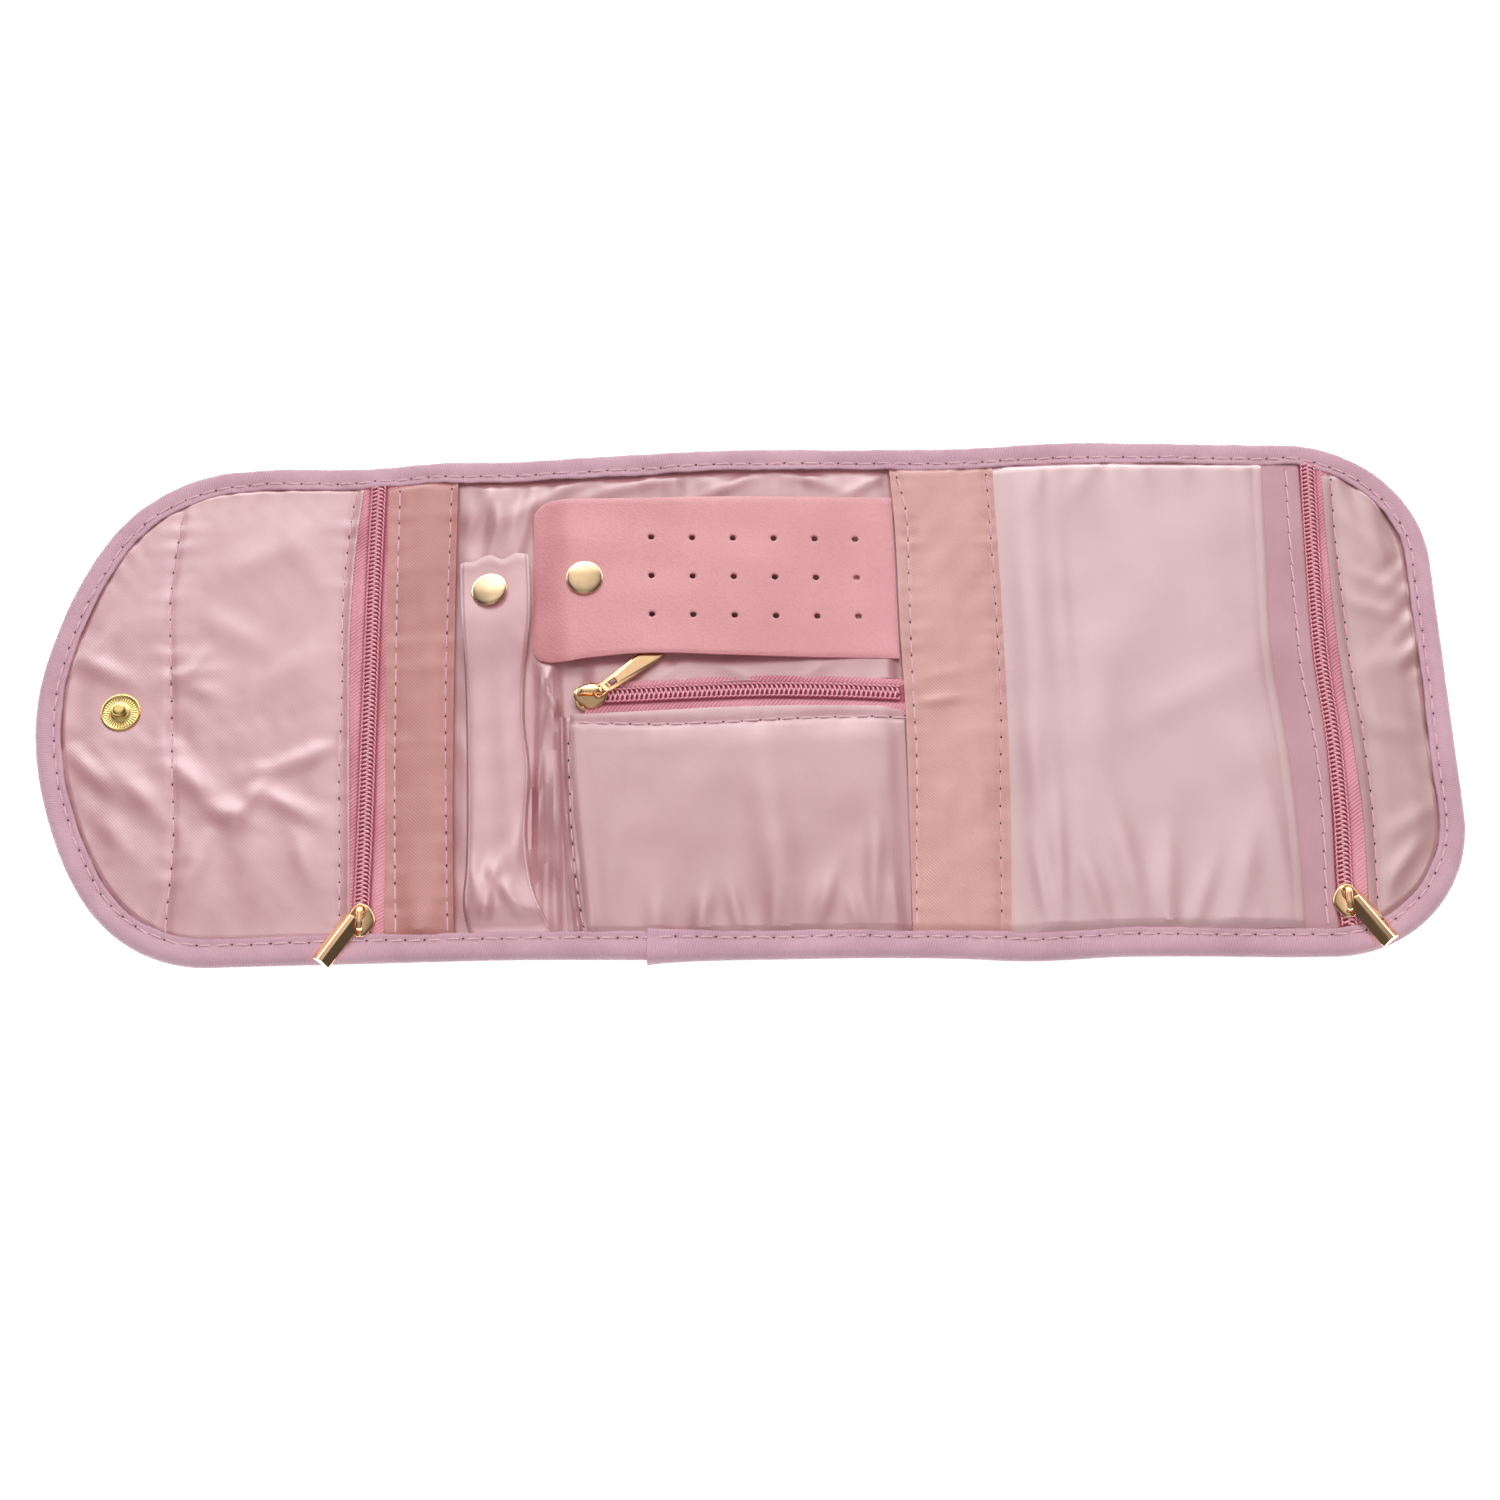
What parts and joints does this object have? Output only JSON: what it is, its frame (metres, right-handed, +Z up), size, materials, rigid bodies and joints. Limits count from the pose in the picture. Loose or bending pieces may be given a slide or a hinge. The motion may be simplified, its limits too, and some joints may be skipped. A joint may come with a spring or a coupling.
{
  "type": "jewelry pouch",
  "caption": "Soft tri-fold jewelry pouch, laid open: snap flap, zipped pockets, ring strap, earring flap and slip pocket inside a bound padded body.",
  "frame": {"origin": "middle of the underside of the pouch laid open on its back", "axes": "+X from the round flap to the square-cornered panel, +Y away from the opener, +Z up"},
  "size_m": [0.381, 0.152, 0.0096],
  "materials": {
    "cover_twill": "matte twill",
    "binding_twill": "matte twill",
    "padding": "needled padding",
    "satin": "soft satin",
    "band_cloth": "fine plain cloth",
    "zip_cloth": "woven tape with nylon coil",
    "leather_look": "fine grain",
    "rose_gold": "polished plating"
  },
  "bodies": {
    "center": {"center_cover": "cover_twill", "center_padding": "padding", "center_lining": "satin", "center_binding_back": "binding_twill", "center_binding_front": "binding_twill", "ring_strap_snap_stud": "rose_gold", "earring_flap_snap_stud": "rose_gold", "small_pocket_face": "satin", "small_pocket_side": "satin", "pocket_zip_tape_back": "zip_cloth", "pocket_zip_tape_front": "zip_cloth"},
    "pocket_slider": {"pocket_zip_slider": "rose_gold"},
    "pocket_pull": {"pocket_zip_ring": "rose_gold", "pocket_zip_pull": "rose_gold"},
    "ring_strap": {"ring_strap": "satin", "ring_strap_snap_cap": "rose_gold", "ring_strap_snap_socket": "rose_gold"},
    "earring_flap": {"earring_flap": "leather_look", "earring_flap_snap_cap": "rose_gold", "earring_flap_snap_socket": "rose_gold"},
    "left_spine": {"left_spine_cover": "cover_twill", "left_spine_padding": "padding", "left_spine_lining": "satin", "left_spine_binding_back": "binding_twill", "left_spine_binding_front": "binding_twill", "flap_zip_facing": "satin", "left_fold_band": "band_cloth", "flap_zip_tape_left": "zip_cloth", "flap_zip_tape_right": "zip_cloth"},
    "flap_slider": {"flap_zip_slider": "rose_gold"},
    "flap_ring": {"flap_zip_ring": "rose_gold"},
    "flap_pull": {"flap_zip_pull": "rose_gold"},
    "flap": {"flap_cover": "cover_twill", "flap_padding": "padding", "flap_lining": "satin", "flap_facing": "satin", "flap_binding": "binding_twill", "flap_snap_stud": "rose_gold", "flap_snap_cap": "rose_gold"},
    "right_spine": {"right_spine_cover": "cover_twill", "right_spine_padding": "padding", "right_spine_lining": "satin", "right_fold_band": "band_cloth", "right_spine_binding_back": "binding_twill", "right_spine_binding_front": "binding_twill"},
    "right_panel": {"right_panel_cover": "cover_twill", "right_panel_padding": "padding", "right_panel_lining": "satin", "slip_pocket_face": "satin", "slip_pocket_trim": "binding_twill", "panel_end_facing": "satin", "right_panel_binding": "binding_twill", "panel_zip_tape_left": "zip_cloth", "panel_zip_tape_right": "zip_cloth", "right_panel_snap_socket": "rose_gold", "right_panel_snap_backing": "rose_gold"},
    "panel_slider": {"panel_zip_slider": "rose_gold"},
    "panel_ring": {"panel_zip_ring": "rose_gold"},
    "panel_pull": {"panel_zip_pull": "rose_gold"}
  },
  "joints": [
    {"name": "left_fold", "type": "hinge", "parent": "center", "child": "left_spine", "pos_m": [-0.0799, 0, 0.0052], "axis": [0, 1, 0], "range_deg": [0, 90]},
    {"name": "flap_fold", "type": "hinge", "parent": "left_spine", "child": "flap", "pos_m": [-0.1136, 0, 0.0052], "axis": [0, 1, 0], "range_deg": [0, 90]},
    {"name": "right_fold", "type": "hinge", "parent": "center", "child": "right_spine", "pos_m": [0.043, 0, 0.0052], "axis": [0, -1, 0], "range_deg": [0, 90]},
    {"name": "panel_fold", "type": "hinge", "parent": "right_spine", "child": "right_panel", "pos_m": [0.071, 0, 0.0052], "axis": [0, -1, 0], "range_deg": [0, 90]},
    {"name": "ring_strap_lift", "type": "hinge", "parent": "center", "child": "ring_strap", "pos_m": [-0.0636, -0.068, 0.0052], "axis": [-1, 0, 0], "range_deg": [-150, 0]},
    {"name": "earring_flap_lift", "type": "hinge", "parent": "center", "child": "earring_flap", "pos_m": [0.0429, 0.03575, 0.0054], "axis": [0, -1, 0], "range_deg": [-150, 0]},
    {"name": "pocket_slide", "type": "slide", "parent": "center", "child": "pocket_slider", "axis": [-1, 0, 0], "range_m": [-0.055, 0]},
    {"name": "pocket_pull_swing", "type": "hinge", "parent": "pocket_slider", "child": "pocket_pull", "pos_m": [-0.03845, 0.0017, 0.0076], "axis": [0, 0, 1], "range_deg": [-130, 0]},
    {"name": "flap_slide", "type": "slide", "parent": "left_spine", "child": "flap_slider", "axis": [0, -1, 0], "range_m": [-0.1236, 0]},
    {"name": "flap_ring_swing", "type": "hinge", "parent": "flap_slider", "child": "flap_ring", "pos_m": [-0.1007, -0.05935, 0.0076], "axis": [0, 0, 1], "range_deg": [-250, 0]},
    {"name": "flap_pull_lift", "type": "hinge", "parent": "flap_ring", "child": "flap_pull", "pos_m": [-0.10258, -0.06194, 0.0076], "axis": [0.809, -0.5878, 0], "range_deg": [-115, 0]},
    {"name": "panel_slide", "type": "slide", "parent": "right_panel", "child": "panel_slider", "axis": [0, -1, 0], "range_m": [-0.1247, 0]},
    {"name": "panel_ring_swing", "type": "hinge", "parent": "panel_slider", "child": "panel_ring", "pos_m": [0.1563, -0.06045, 0.0076], "axis": [0, 0, -1], "range_deg": [-250, 0]},
    {"name": "panel_pull_lift", "type": "hinge", "parent": "panel_ring", "child": "panel_pull", "pos_m": [0.15818, -0.06304, 0.0076], "axis": [0.809, 0.5878, 0], "range_deg": [-115, 0]}
  ],
  "couplings": [
    {"joint": "flap_fold", "follows": "left_fold", "ratio": 1},
    {"joint": "panel_fold", "follows": "right_fold", "ratio": 1}
  ]
}
